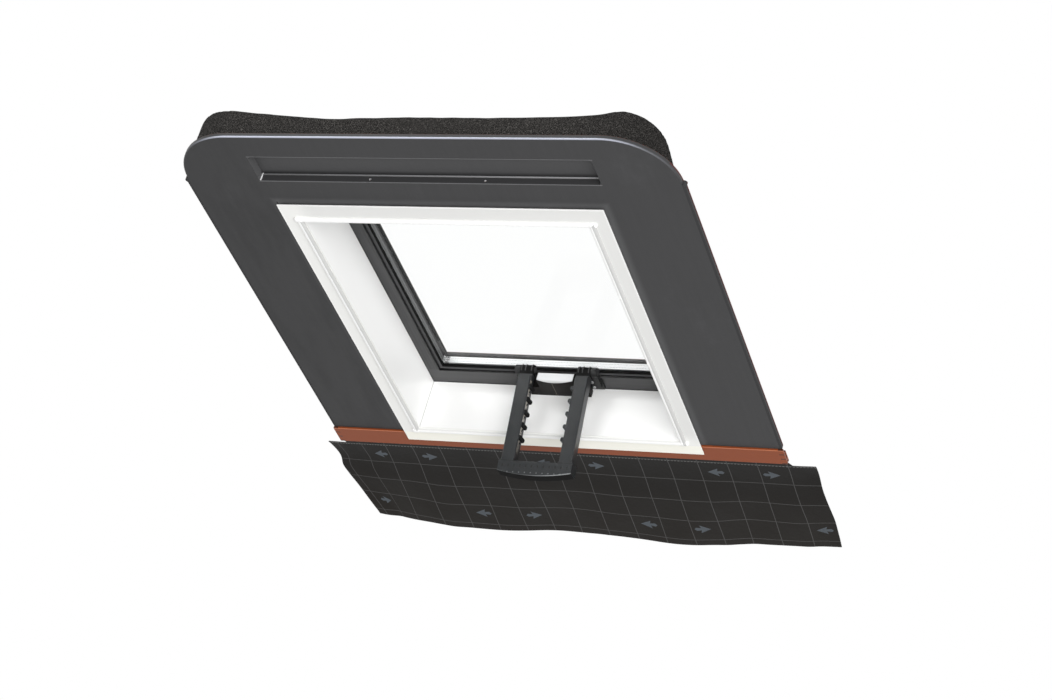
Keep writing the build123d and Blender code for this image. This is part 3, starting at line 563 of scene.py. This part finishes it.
def stay_look():
    """Glass-filled dark plastic: pebbled grain and a knurled grip, with painted highlights and a painted
    reflection on its edges and painted shade below.
    """
    look = Look("stay_plastic")
    nx, ny, nz = look.normal()
    # The stay's own directions: down its length, away from the wall, and across it
    high, out = look.z - STAY_Z, look.y - STAY_Y
    down = -(out * sin(STAY_LEAN)) - high * cos(STAY_LEAN)
    depth = out * cos(STAY_LEAN) - high * sin(STAY_LEAN)
    across = look.x - STAY_X
    front = ny * cos(STAY_LEAN) - nz * sin(STAY_LEAN)
    under = -(ny * sin(STAY_LEAN)) - nz * cos(STAY_LEAN)
    pebble = look.cells(760.0)
    fine = look.noise(2200.0, 2.0)
    flow = look.noise(22.0, 4.0, 0.6)
    # The arm's inner wall with a painted reflection stripe, and the teeth on it
    by_teeth = down.inside(*TEETH)
    wall = (nx < -0.7) * across.near(ARM_WALL, 0.0007) * by_teeth
    tooth = across.inside(*TOOTH) * by_teeth
    reflection_stripe = depth.between(0.0025, 0.0040) * (1 - depth.between(0.0090, 0.0105))
    reflection_stripe = wall * reflection_stripe * (0.95 - 0.6 * down.between(0.110, 0.140))
    # The colour of the painted reflection on the inner wall
    wear_and_reflection = look.blend(look.noise(330.0, 4.0, 0.8).between(0.44, 0.58), tone(40, 39, 37), tone(205, 199, 188))
    # The grip: a line, a row of slots and a row of studs, then its rolled lower edge with a painted highlight
    on_grip = (front > 0.8) * (down > GRIP_FROM)
    tick = abs((across + GRIP_SHIFT) % GRIP_PITCH - GRIP_PITCH / 2)
    below_studs = down - GRIP_STUDS
    slot = on_grip * down.near(GRIP_SLOTS, 0.0024) * (tick < 0.0013)
    stud = on_grip * ((tick * tick + below_studs * below_studs) ** 0.5 < 0.0011)
    start = on_grip * down.near(GRIP_LINE, 0.0006)
    at_chin = down > GRIP_CHIN
    chin = at_chin * (under > 0.72)
    rolled = at_chin * front.inside(0.30, 0.97) * (under > 0.25) * (1 - chin)
    lit = 1 - across.between(-0.030, 0.028)
    body = look.coats(
        look.blend(flow, tone(30, 33, 35), tone(42, 45, 47)),
        (pebble.between(0.1, 0.5) * 0.45, tone(20, 21, 22)),
        # Painted shade on faces that look down the stay
        ((under > 0.6) * 0.6, tone(14, 14, 15)),
        (reflection_stripe, wear_and_reflection),
        # Painted shade in the slots and along the grip's first line
        (slot.most(start) * 0.9, tone(8, 8, 9)),
        (stud * 0.8, tone(104, 107, 108)),
        # Painted highlight on the rolled lower edge, stronger towards -X
        (rolled * (0.08 + 0.48 * lit), tone(158, 162, 163)))
    relief = look.bump(1 - slot, 0.6 * MM, look.bump(stud, 0.5 * MM, look.bump(pebble, 0.18 * MM)))
    lively = look.node("BsdfPrincipled", {}, Base_Color=body, Roughness=0.34 + 0.10 * fine,
                       Specular_IOR_Level=0.45, Coat_Weight=(abs(nx) > 0.7) * (1 - wall) * 0.35,
                       Coat_Roughness=0.15, Normal=relief)
    # Painted shade: the chin, the teeth and the top end by the pins darker and dull
    dull = look.node("BsdfPrincipled", {}, Base_Color=look.blend(fine, grey(16), grey(38)),
                     Roughness=0.9, Specular_IOR_Level=0.04, Normal=relief)
    return look.show(look.mix(chin.most(tooth).most(down < 0.0100), lively, dull))


def catch_look():
    """Brown-black moulded plastic with a thin light slanting line on its faces towards the room."""
    look = Look("catch_plastic")
    _, _, nz = look.normal()
    fine = look.noise(900.0, 2.0)
    flow = look.noise(30.0, 4.0, 0.6)
    light_line = (abs(look.x + 0.0040 + 0.10 * (look.y + 0.2310)) < 0.0005) * (nz < -0.4)
    body = look.blend(flow, tone(14, 12, 11), tone(24, 21, 19))
    return look.finish(Base_Color=look.blend(light_line * 0.7, body, tone(120, 112, 105)),
                       Roughness=0.5 + 0.1 * fine, Specular_IOR_Level=0.15,
                       Normal=look.bump(fine, 0.05 * MM))


def catch_face_look():
    """Bright bare face plate with a fine brushed line, and painted shade towards its lower edge."""
    look = Look("catch_face")
    brushed = look.noise(1400.0, 3.0, stretch=(0.05, 1.0, 1.0))
    # Painted shade towards the plate's lower edge
    low = 1 - look.z.between(0.0640, 0.0700)
    body = look.blend(brushed, tone(195, 197, 198), tone(212, 213, 214))
    return look.finish(Base_Color=look.blend(low * 0.7, body, grey(150)), Metallic=0.15,
                       Roughness=0.24 + 0.16 * brushed, Normal=look.bump(brushed, 0.02 * MM))


bracket = moulded("bracket_plastic", tone(17, 18, 19))
packer = moulded("packer_plastic", tone(26, 27, 28))
stay_plastic, steel, coat, seal = stay_look(), zinc(), dark_metal(), rubber("seal_rubber", 13, 13)
lining_white = lining_look()
finishes = {
    "flashing_frame": flashing_look(), "curb_insulation": bead_foam(), "inner_lining": lining_white,
    "curb_seal": seal, "apron_clamp": painted_clay(), "hinge_base_left": coat, "hinge_base_right": coat,
    "catch_block": catch_look(), "catch_label": catch_face_look(), "sash_frame": sash_look(),
    "sash_cap": cap_look(), "glass_inner": pane_look(), "glass_outer": pane_look(),
    "glass_spacer": spacer_look(), "glass_edge_seal": seal, "inner_glazing_seal": seal,
    # The outer seal painted lighter along the lower rail, as light
    "outer_glazing_seal": rubber("outer_rubber", 118, 70), "setting_blocks": packer,
    "hinge_arm_left": coat, "hinge_arm_right": coat, "hinge_pin_left": steel, "hinge_pin_right": steel,
    "stay_bracket_left": bracket, "stay_bracket_right": bracket, "stay_pin_left": coat,
    "stay_pin_right": coat, "stay": stay_plastic}
for node, material in finishes.items():
    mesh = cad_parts[node].data
    mesh.materials.clear()
    mesh.materials.append(material)


# ---------------------------------------------------------------- modelling helpers

def deselect():
    if bpy.context.object and bpy.context.object.mode != "OBJECT":
        bpy.ops.object.mode_set(mode="OBJECT")
    bpy.ops.object.select_all(action="DESELECT")


def pick(*pieces):
    """Leave only these selected, with the first of them active."""
    deselect()
    for piece in pieces:
        piece.select_set(True)
    bpy.context.view_layer.objects.active = pieces[0]


def make(kind, name, **how):
    """Add a primitive at its size and place, with its place kept in its mesh."""
    deselect()
    getattr(bpy.ops.mesh, f"primitive_{kind}_add")(**how)
    piece = bpy.context.object
    piece.name = piece.data.name = name
    bpy.ops.object.transform_apply(location=True, rotation=True, scale=True)
    return piece


def wear(piece, material):
    piece.data.materials.clear()
    piece.data.materials.append(material)


def applied(piece, kind, **settings):
    """Add a modifier and apply it."""
    pick(piece)
    modifier = piece.modifiers.new(kind.lower(), kind)
    for key, value in settings.items():
        setattr(modifier, key, value)
    bpy.ops.object.modifier_apply(modifier=modifier.name)


def cut(piece, cutter):
    """Take a cutter's shape out of a piece, and remove the cutter."""
    applied(piece, "BOOLEAN", object=cutter, operation="DIFFERENCE", solver="EXACT")
    bpy.data.objects.remove(cutter)


def smooth(piece, angle):
    pick(piece)
    bpy.ops.object.shade_smooth_by_angle(angle=radians(angle))


def piece_on(mesh, name):
    """A new piece on its own copy of a mesh."""
    piece = bpy.data.objects.new(name, mesh.copy())
    bpy.context.scene.collection.objects.link(piece)
    return piece


def copy_of(node, name):
    """A merged copy of a CAD node's mesh, as a new piece."""
    piece = piece_on(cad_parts[node].data, name)
    pick(piece)
    bpy.ops.object.mode_set(mode="EDIT")
    bpy.ops.mesh.select_all(action="SELECT")
    bpy.ops.mesh.remove_doubles(threshold=0.01 * MM)
    bpy.ops.mesh.normals_make_consistent(inside=False)
    bpy.ops.object.mode_set(mode="OBJECT")
    return piece


def joined(pieces, name):
    pick(*pieces)
    bpy.ops.object.join()
    pieces[0].name = pieces[0].data.name = name
    return pieces[0]


def ease(value, low, high):
    share = min(1.0, max(0.0, (value - low) / (high - low)))
    return share * share * (3 - 2 * share)


def height_at(value, table, soft=0.0):
    """The height of a line through a table's points, rounded off over a distance."""
    if soft:
        return sum(height_at(value + step * soft, table) for step in (-1, -0.5, 0, 0.5, 1)) / 5
    if value <= table[0][0]:
        return table[0][1]
    for (start, first), (end, last) in zip(table, table[1:]):
        if value <= end:
            return first + (last - first) * (value - start) / (end - start)
    return table[-1][1]


# ---------------------------------------------------------------- screws

HEAD_R, HEAD_T, HEAD_EDGE = 3.4 * MM, 1.8 * MM, 0.75 * MM
SHANK_R, SHANK_LEN, SHANK_MID = 1.75 * MM, 8.0 * MM, 3.8 * MM
RECESS = (3.9 * MM, 0.85 * MM, 2.0 * MM)
FIRST_TURN, NEXT_TURN = 0.5, 1.9
UP, UPHILL, DOWN = Matrix.Identity(4), Matrix.Rotation(-pi / 2, 4, "X"), Matrix.Rotation(pi, 4, "X")


def cross_screw():
    """A pan-head screw with a cross recess, its head's top at the origin and its shank along -Z."""
    head = make("cylinder", "screw", vertices=40, radius=HEAD_R, depth=HEAD_T, location=(0, 0, -HEAD_T / 2))
    applied(head, "BEVEL", width=HEAD_EDGE, segments=3, angle_limit=radians(60))
    for turn in (0, pi / 2):
        cut(head, make("cube", "cutter", size=1, location=(0, 0, 0), rotation=(0, 0, turn), scale=RECESS))
    shank = make("cylinder", "shank", vertices=24, radius=SHANK_R, depth=SHANK_LEN,
                 location=(0, 0, -HEAD_T - SHANK_MID))
    screw = joined([head, shank], "screw")
    smooth(screw, 30)
    return screw


def screws(model, node, turn, body):
    """Put modelled screws in the places of a CAD node's plain ones, each turned a little differently."""
    copy_of(node, node + "_plain")
    bpy.ops.mesh.separate(type="LOOSE")
    to_screw = turn.inverted()
    made = []
    for index, part in enumerate(list(bpy.context.selected_objects)):
        spots = [to_screw @ vertex.co for vertex in part.data.vertices]
        low = [min(spot[axis] for spot in spots) for axis in range(3)]
        high = [max(spot[axis] for spot in spots) for axis in range(3)]
        piece = piece_on(model.data, node + "_one")
        for vertex in piece.data.vertices:
            if vertex.co.z < -HEAD_T - MM:
                vertex.co.z = low[2] - high[2]
        top = Vector(((low[0] + high[0]) / 2, (low[1] + high[1]) / 2, high[2]))
        driven = Matrix.Rotation(FIRST_TURN + NEXT_TURN * index, 4, "Z")
        piece.data.transform(turn @ Matrix.Translation(top) @ driven)
        made.append(piece)
        bpy.data.objects.remove(part)
    whole = joined(made, node + "_crossed")
    wear(whole, steel)
    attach(whole, body)
    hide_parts(node)


# ---------------------------------------------------------------- foam strip

# How high the strip stands, by its length measured from the middle, in millimetres
FOAM_TOP = ((-430, 8), (-414, 12), (-398, 22), (-382, 43), (-358, 55), (-334, 60), (-310, 62), (-286, 55),
            (-275, 52), (-218, 48), (-100, 46), (25, 46), (134, 43), (200, 48), (250, 53), (286, 57),
            (310, 60), (334, 64), (358, 66), (382, 60), (406, 51), (430, 46))
FOAM_TURN, FOAM_SOFT = 0.092, 9.0
# The depth of the torn top edge, of the slow waves and of the torn cells, and how fine each is
TORN, WAVY, ROUGH = 0.8 * MM, 1.0 * MM, 0.6 * MM
TORN_FINE, WAVY_FINE, WAVY_FINE_UP, ROUGH_FINE = 40, 14, 20, 420


def foam_strip():
    """Soft strip that stands on edge round the top of the plate, fuller at the corners."""
    piece = copy_of("foam_strip", "foam_soft")
    applied(piece, "REMESH", mode="VOXEL", voxel_size=3.0 * MM)
    low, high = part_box("foam_strip")
    tall = high[2] - low[2]
    turn_x, turn_y = high[0] - FOAM_TURN, high[1] - FOAM_TURN
    for vertex in piece.data.vertices:
        x, y, z = vertex.co
        rise = (z - low[2]) / tall
        side = 1 if x > 0 else -1
        out, length = Vector((0, 1)), x
        if abs(x) > turn_x:
            out = Vector((abs(x) - turn_x, max(0.0, y - turn_y)))
            length = side * (turn_x + FOAM_TURN * atan2(out.x, out.y))
            out.normalize()
            out.x *= side
        torn = TORN * noise.noise(Vector((x * TORN_FINE, y * TORN_FINE, 3.0)))
        top = height_at(length / MM, FOAM_TOP, FOAM_SOFT) * MM + torn
        push = WAVY * noise.noise(Vector((x * WAVY_FINE, y * WAVY_FINE, z * WAVY_FINE_UP))) * rise
        rough = ROUGH * noise.noise(Vector((x, y, z)) * ROUGH_FINE) * (1 - ease(rise, 0.82, 0.98))
        vertex.co = (x + out.x * (push + rough), y + out.y * (push + rough),
                     low[2] + rise * (top - low[2]) + rough * rise)
    smooth(piece, 60)
    wear(piece, foam_look())
    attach(piece, "frame")
    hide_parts("foam_strip")


# ---------------------------------------------------------------- apron

# All in millimetres: where the hem lies across the slope, then, down the sheet, how far its left edge draws
# in and its right edge swings out, as seen from the room
HEM = ((-447, -529), (-406, -536), (-389, -541), (-338, -540), (-297, -541), (-246, -553), (-197, -554),
       (-146, -550), (-80, -545), (-59, -542), (-24, -538), (1, -539), (101, -546), (197, -546), (241, -544),
       (258, -538), (282, -531), (322, -527), (357, -520), (378, -512), (430, -506))
LEFT_IN = ((16, 12), (58, 23), (83, 20), (122, 31), (190, 49), (223, 58))
RIGHT_OUT = ((16, 3), (73, 4), (122, 10), (157, 14), (207, 15))
HEM_SOFT = 8.0
# How far the top corners are cut back, and where across the slope the cut and the side edges begin
CORNER_CUT, CUT_FROM, CUT_TO = 16.5 * MM, 0.3835, 0.3925
SIDE_FROM, SIDE_TO, DRIFT = 0.30, 0.43, 9.0 * MM
# The sheet's thickness, what the clamp holds of it, its droop in degrees and how far its corners curl
SHEET_T, HELD, DROOP_FROM, DROOP_MORE, CURL = 1.6 * MM, 7.0 * MM, 2.0, 6.4, 4.0 * MM


def apron_sheet():
    """Flexible sheet that hangs from the clamp, with a wavy lower edge and cut-back top corners."""
    _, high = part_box("apron")
    start_y, start_z = high[1], high[2] - 1.0 * MM
    fallen = start_y - APRON_LEN * cos(radians(DROOP_FROM + DROOP_MORE))
    piece = make("grid", "apron_soft", x_subdivisions=160, y_subdivisions=44, size=1.0, location=(0, 0, 0))
    flat = []
    for vertex in piece.data.vertices:
        across = vertex.co.x * 2
        x = across * APRON_W / 2
        cut_back = CORNER_CUT * ease(abs(x), CUT_FROM, CUT_TO)
        run = cut_back + (0.5 - vertex.co.y) * (APRON_LEN - cut_back)
        flat.append((across / 2 + 0.5, run / APRON_LEN))
        free, hang = ease(run, 0.006, 0.05), ease(run, 0.02, APRON_LEN)
        droop = radians(DROOP_FROM + DROOP_MORE * ease(run, 0.0, 0.12))
        z = start_z - max(0.0, run - HELD) * sin(droop)
        left, right = ease(x, SIDE_FROM, SIDE_TO), ease(-x, SIDE_FROM, SIDE_TO)
        past_clamp = ease(run, 0.010, 0.018)
        x -= left * height_at(run / MM, LEFT_IN, HEM_SOFT) * MM * past_clamp
        x -= right * height_at(run / MM, RIGHT_OUT, HEM_SOFT) * MM * past_clamp
        x -= DRIFT * run / APRON_LEN * (1 - left) * (1 - right)
        y = start_y - run * cos(droop) + hang * (height_at(x / MM, HEM, HEM_SOFT) * MM - fallen)
        # Slow waves down to the hem, then the corners that curl
        z += hang * (0.0022 * sin(x * 17 + 0.6) + 0.0013 * sin(x * 41 + y * 25))
        z += CURL * ease(abs(across), 0.93, 1.0) * ease(0.09 - run, 0.0, 0.09) * free
        z -= CURL * ease(across, 0.86, 1.0) * ease(run, 0.14, APRON_LEN)
        vertex.co = (x, y, z)
    uv = piece.data.uv_layers["UVMap"].data
    for loop in piece.data.loops:
        uv[loop.index].uv = flat[loop.vertex_index]
    applied(piece, "SOLIDIFY", thickness=SHEET_T, offset=0.0, use_rim=True)
    smooth(piece, 50)
    wear(piece, apron_look())
    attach(piece, "frame")
    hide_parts("apron")


# ---------------------------------------------------------------- small moulded details

def repeated(model, places, name):
    """Copies of a modelled piece, each with its own mesh, joined into one; the model itself is removed."""
    made = []
    for place in places:
        piece = piece_on(model.data, name)
        piece.data.transform(place)
        made.append(piece)
    bpy.data.objects.remove(model)
    return joined(made, name)


# Half sizes of the swelling at a corner of the bead and of a gate mark, and the gate marks' places
CORNER_SIZE, GATE_SIZE = (7.6 * MM, 5.0 * MM, 4.2 * MM), (2.4 * MM, 4.2 * MM, 2.1 * MM)
GATES = ((1, 0.0046), (1, -0.107), (1, 0.150), (-1, -0.060), (-1, 0.110))


def bead_corners():
    """Rounded swellings where the lining's bead turns its corners, and small gate marks along it."""
    pad = make("cube", "pad", size=2.0)
    applied(pad, "BEVEL", width=0.75, segments=4)
    applied(pad, "SUBSURF", levels=2, render_levels=2)
    corner_x, corner_y, gate_x = OPENING_X + 7 * MM, OPENING_Y + 6 * MM, OPENING_X + 4 * MM
    corners = [Matrix.LocRotScale((x * corner_x, y * corner_y, -6.6 * MM), None, CORNER_SIZE)
               for x in (-1, 1) for y in (-1, 1)]
    gates = [Matrix.LocRotScale((x * gate_x, y, -8.4 * MM), None, GATE_SIZE) for x, y in GATES]
    whole = repeated(pad, corners + gates, "bead_corners")
    smooth(whole, 60)
    wear(whole, lining_white)
    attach(whole, "frame")


# Outer radius, bore and thickness of a ring, and the rings' places along the pins in millimetres
RING_R, RING_BORE, RING_T = 8.9 * MM, 7.1 * MM, 1.8 * MM
RINGS = (50.5, 43.5, 33.0, -48.0, -55.0, -65.5)


def eye_rings():
    """Raised rings round the stay's two eyes."""
    def disc(name, radius, depth):
        return make("cylinder", name, vertices=56, radius=radius, depth=depth, rotation=(0, pi / 2, 0))

    ring = disc("ring", RING_R, RING_T)
    cut(ring, disc("bore", RING_BORE, 4.0 * MM))
    applied(ring, "BEVEL", width=0.6 * MM, segments=3, angle_limit=radians(50))
    whole = repeated(ring, [Matrix.Translation((x * MM, STAY_Y, STAY_Z)) for x in RINGS], "eye_rings")
    smooth(whole, 40)
    wear(whole, coat)
    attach(whole, "stay")


foam_strip()
apron_sheet()
bead_corners()
eye_rings()
screw = cross_screw()
for node, turn, body in (("cap_screws", UP, "sash"), ("clamp_screws", UP, "frame"),
                         ("hinge_base_screws", UPHILL, "frame"), ("hinge_arm_screws", UPHILL, "sash"),
                         ("catch_screws", UPHILL, "frame"), ("stay_bracket_screws", DOWN, "sash")):
    screws(screw, node, turn, body)
bpy.data.objects.remove(screw)


# ---------------------------------------------------------------- stage, light and camera

WHITE, FLOOR_PALE = (1.0, 1.0, 1.0, 1.0), (0.85, 0.85, 0.85, 1.0)
SOFT_LIGHT = 0.44
FLOOR_SIZE, FLOOR_Z = 60, -5.8
# Each lamp's name, place, side length in metres and power in watts; all of them aim at the origin
LAMPS = (("key", (-3.6, 4.6, -3.6), 6.0, 520), ("fill", (-4.5, 0.7, -3.0), 4.0, 39),
         ("top", (1.5, 3.0, 1.5), 1.6, 30))
EYE = (-1.5093, 3.0555, -2.1431)
EYE_RIGHT, EYE_UP, EYE_BACK = (-0.9303, -0.2786, 0.2386), (0.0354, 0.5793, 0.8144), (-0.3651, 0.766, -0.529)


def backdrop(name, light):
    """White to the eye and in reflections, and a softer grey light on matt surfaces."""
    look = Look(name, world=True)
    dim, bright = look.node("Background", {}, WHITE, light), look.node("Background", {}, WHITE, 1.0)
    bpy.context.scene.world = look.show(look.mix(look.seen(), dim, bright))


def soft_lamp(name, place, size, power):
    deselect()
    bpy.ops.object.light_add(type="AREA", location=place)
    lamp = bpy.context.object
    lamp.name = name
    lamp.data.shape = "SQUARE"
    lamp.data.size = size
    lamp.data.energy = power
    lamp.rotation_euler = (-Vector(place)).to_track_quat("-Z", "Y").to_euler()


backdrop("studio_white", SOFT_LIGHT)
for lamp in LAMPS:
    soft_lamp(*lamp)

deselect()
bpy.ops.mesh.primitive_plane_add(size=FLOOR_SIZE, location=(0, 0, FLOOR_Z))
floor = bpy.context.object
floor.name = "floor"
ground = Look("pale_floor")
pale = ground.node("BsdfDiffuse", {}, FLOOR_PALE)
glow = ground.node("Emission", {}, WHITE, 1.0)
floor.data.materials.append(ground.show(ground.mix(ground.seen(), pale, glow)))

bpy.ops.object.camera_add()
camera = bpy.context.object
camera.name = "camera"
turned = Matrix((EYE_RIGHT, EYE_UP, EYE_BACK)).transposed().to_4x4()
camera.matrix_world = Matrix.Translation(EYE) @ turned
camera.data.sensor_width = 36
camera.data.lens = 89.66
camera.data.clip_end = 100
bpy.context.scene.camera = camera
bpy.context.scene.view_settings.view_transform = "Standard"
